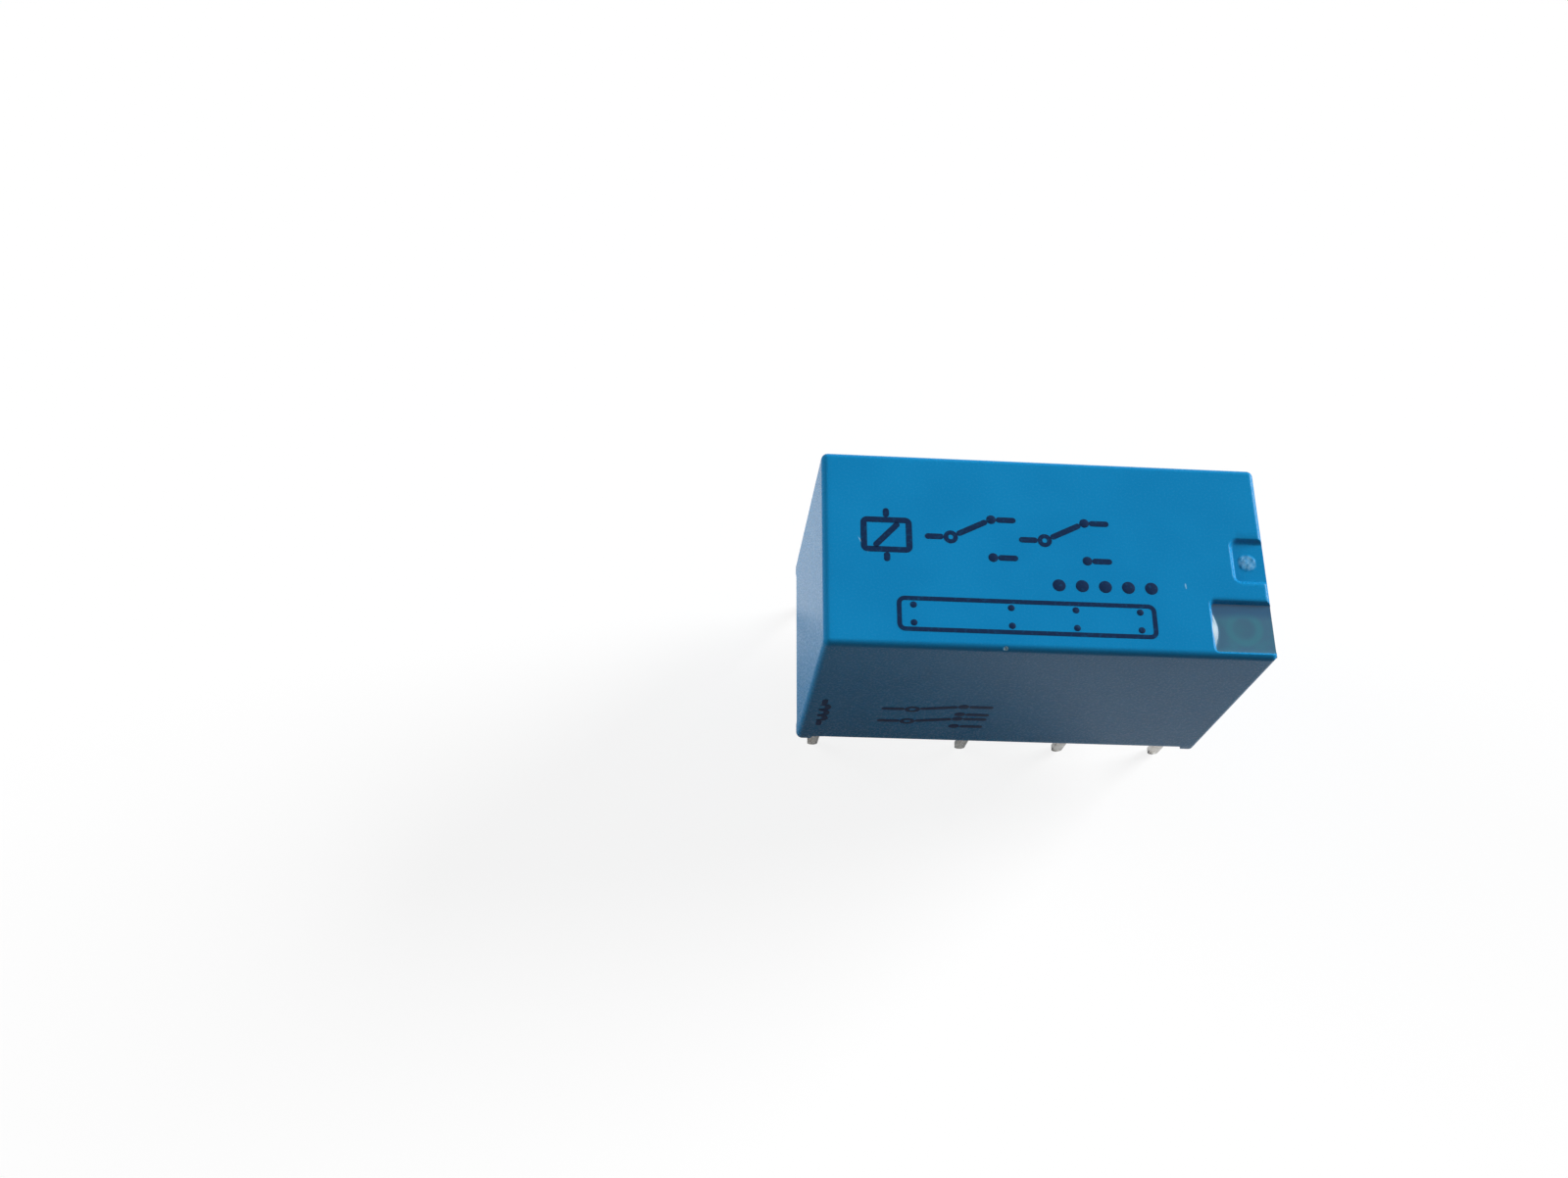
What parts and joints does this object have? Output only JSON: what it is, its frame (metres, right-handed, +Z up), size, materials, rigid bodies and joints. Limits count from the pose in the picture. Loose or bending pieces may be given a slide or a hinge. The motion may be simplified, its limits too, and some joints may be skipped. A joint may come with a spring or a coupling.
{
  "type": "pcb power relay",
  "caption": "Small sealed electromagnetic changeover relay for a circuit board: a blue box cover with corner feet, a vent pocket in its roof and flat tinned pins below.",
  "frame": {"origin": "centre of the pin pattern on the circuit board's surface, where the feet stand", "axes": "+X along the relay away from the coil pins, +Y across it away from the side the picture shows, +Z up out of the board"},
  "size_m": [0.02, 0.0094, 0.0151],
  "materials": {
    "cover_plastic": "satin, moulded",
    "base_plastic": "satin, moulded",
    "seal_resin": "milky cast resin",
    "vent_resin": "clear cast resin over the blue pocket",
    "tinned_metal": "tin plated",
    "plated_iron": "plated soft iron",
    "spring_bronze": "rolled",
    "contact_silver": "bright alloy",
    "bobbin_plastic": "moulded",
    "card_plastic": "moulded",
    "enamelled_copper": "enamelled wire",
    "soldered_copper": "wound and soldered",
    "print_ink": "printed marks"
  },
  "bodies": {
    "frame": {"cover": "cover_plastic", "vent_seal": "vent_resin", "base": "base_plastic", "base_seal": "seal_resin", "coil_terminal_front": "tinned_metal", "coil_terminal_rear": "tinned_metal", "common_terminal_front": "tinned_metal", "common_terminal_rear": "tinned_metal", "break_terminal_front": "tinned_metal", "break_terminal_rear": "tinned_metal", "make_terminal_front": "tinned_metal", "make_terminal_rear": "tinned_metal", "bobbin": "bobbin_plastic", "winding": "enamelled_copper", "coil_lead_front": "soldered_copper", "coil_lead_rear": "soldered_copper", "core": "plated_iron", "yoke": "plated_iron", "hinge_spring": "spring_bronze", "break_contact_front": "contact_silver", "break_contact_rear": "contact_silver", "make_contact_front": "contact_silver", "make_contact_rear": "contact_silver"},
    "armature": {"armature": "plated_iron", "card": "card_plastic"},
    "blade_front": {"moving_blade_front": "spring_bronze", "moving_contact_front": "contact_silver"},
    "blade_rear": {"moving_blade_rear": "spring_bronze", "moving_contact_rear": "contact_silver"}
  },
  "joints": [
    {"name": "armature_pivot", "type": "hinge", "parent": "frame", "child": "armature", "pos_m": [-0.00115, 0, 0.00898], "axis": [0, 1, 0], "range_deg": [0, 4], "stiffness_Nm_per_rad": 0.005, "springref_deg": -2.86},
    {"name": "blade_front_flex", "type": "hinge", "parent": "frame", "child": "blade_front", "pos_m": [-0.00097, -0.0026, 0.0057], "axis": [0, 1, 0], "range_deg": [0, 4.26]},
    {"name": "blade_rear_flex", "type": "hinge", "parent": "frame", "child": "blade_rear", "pos_m": [-0.00097, 0.0026, 0.0057], "axis": [0, 1, 0], "range_deg": [0, 4.26]}
  ],
  "couplings": [
    {"joint": "blade_front_flex", "follows": "armature_pivot", "ratio": 1.0613},
    {"joint": "blade_rear_flex", "follows": "armature_pivot", "ratio": 1.0613}
  ]
}
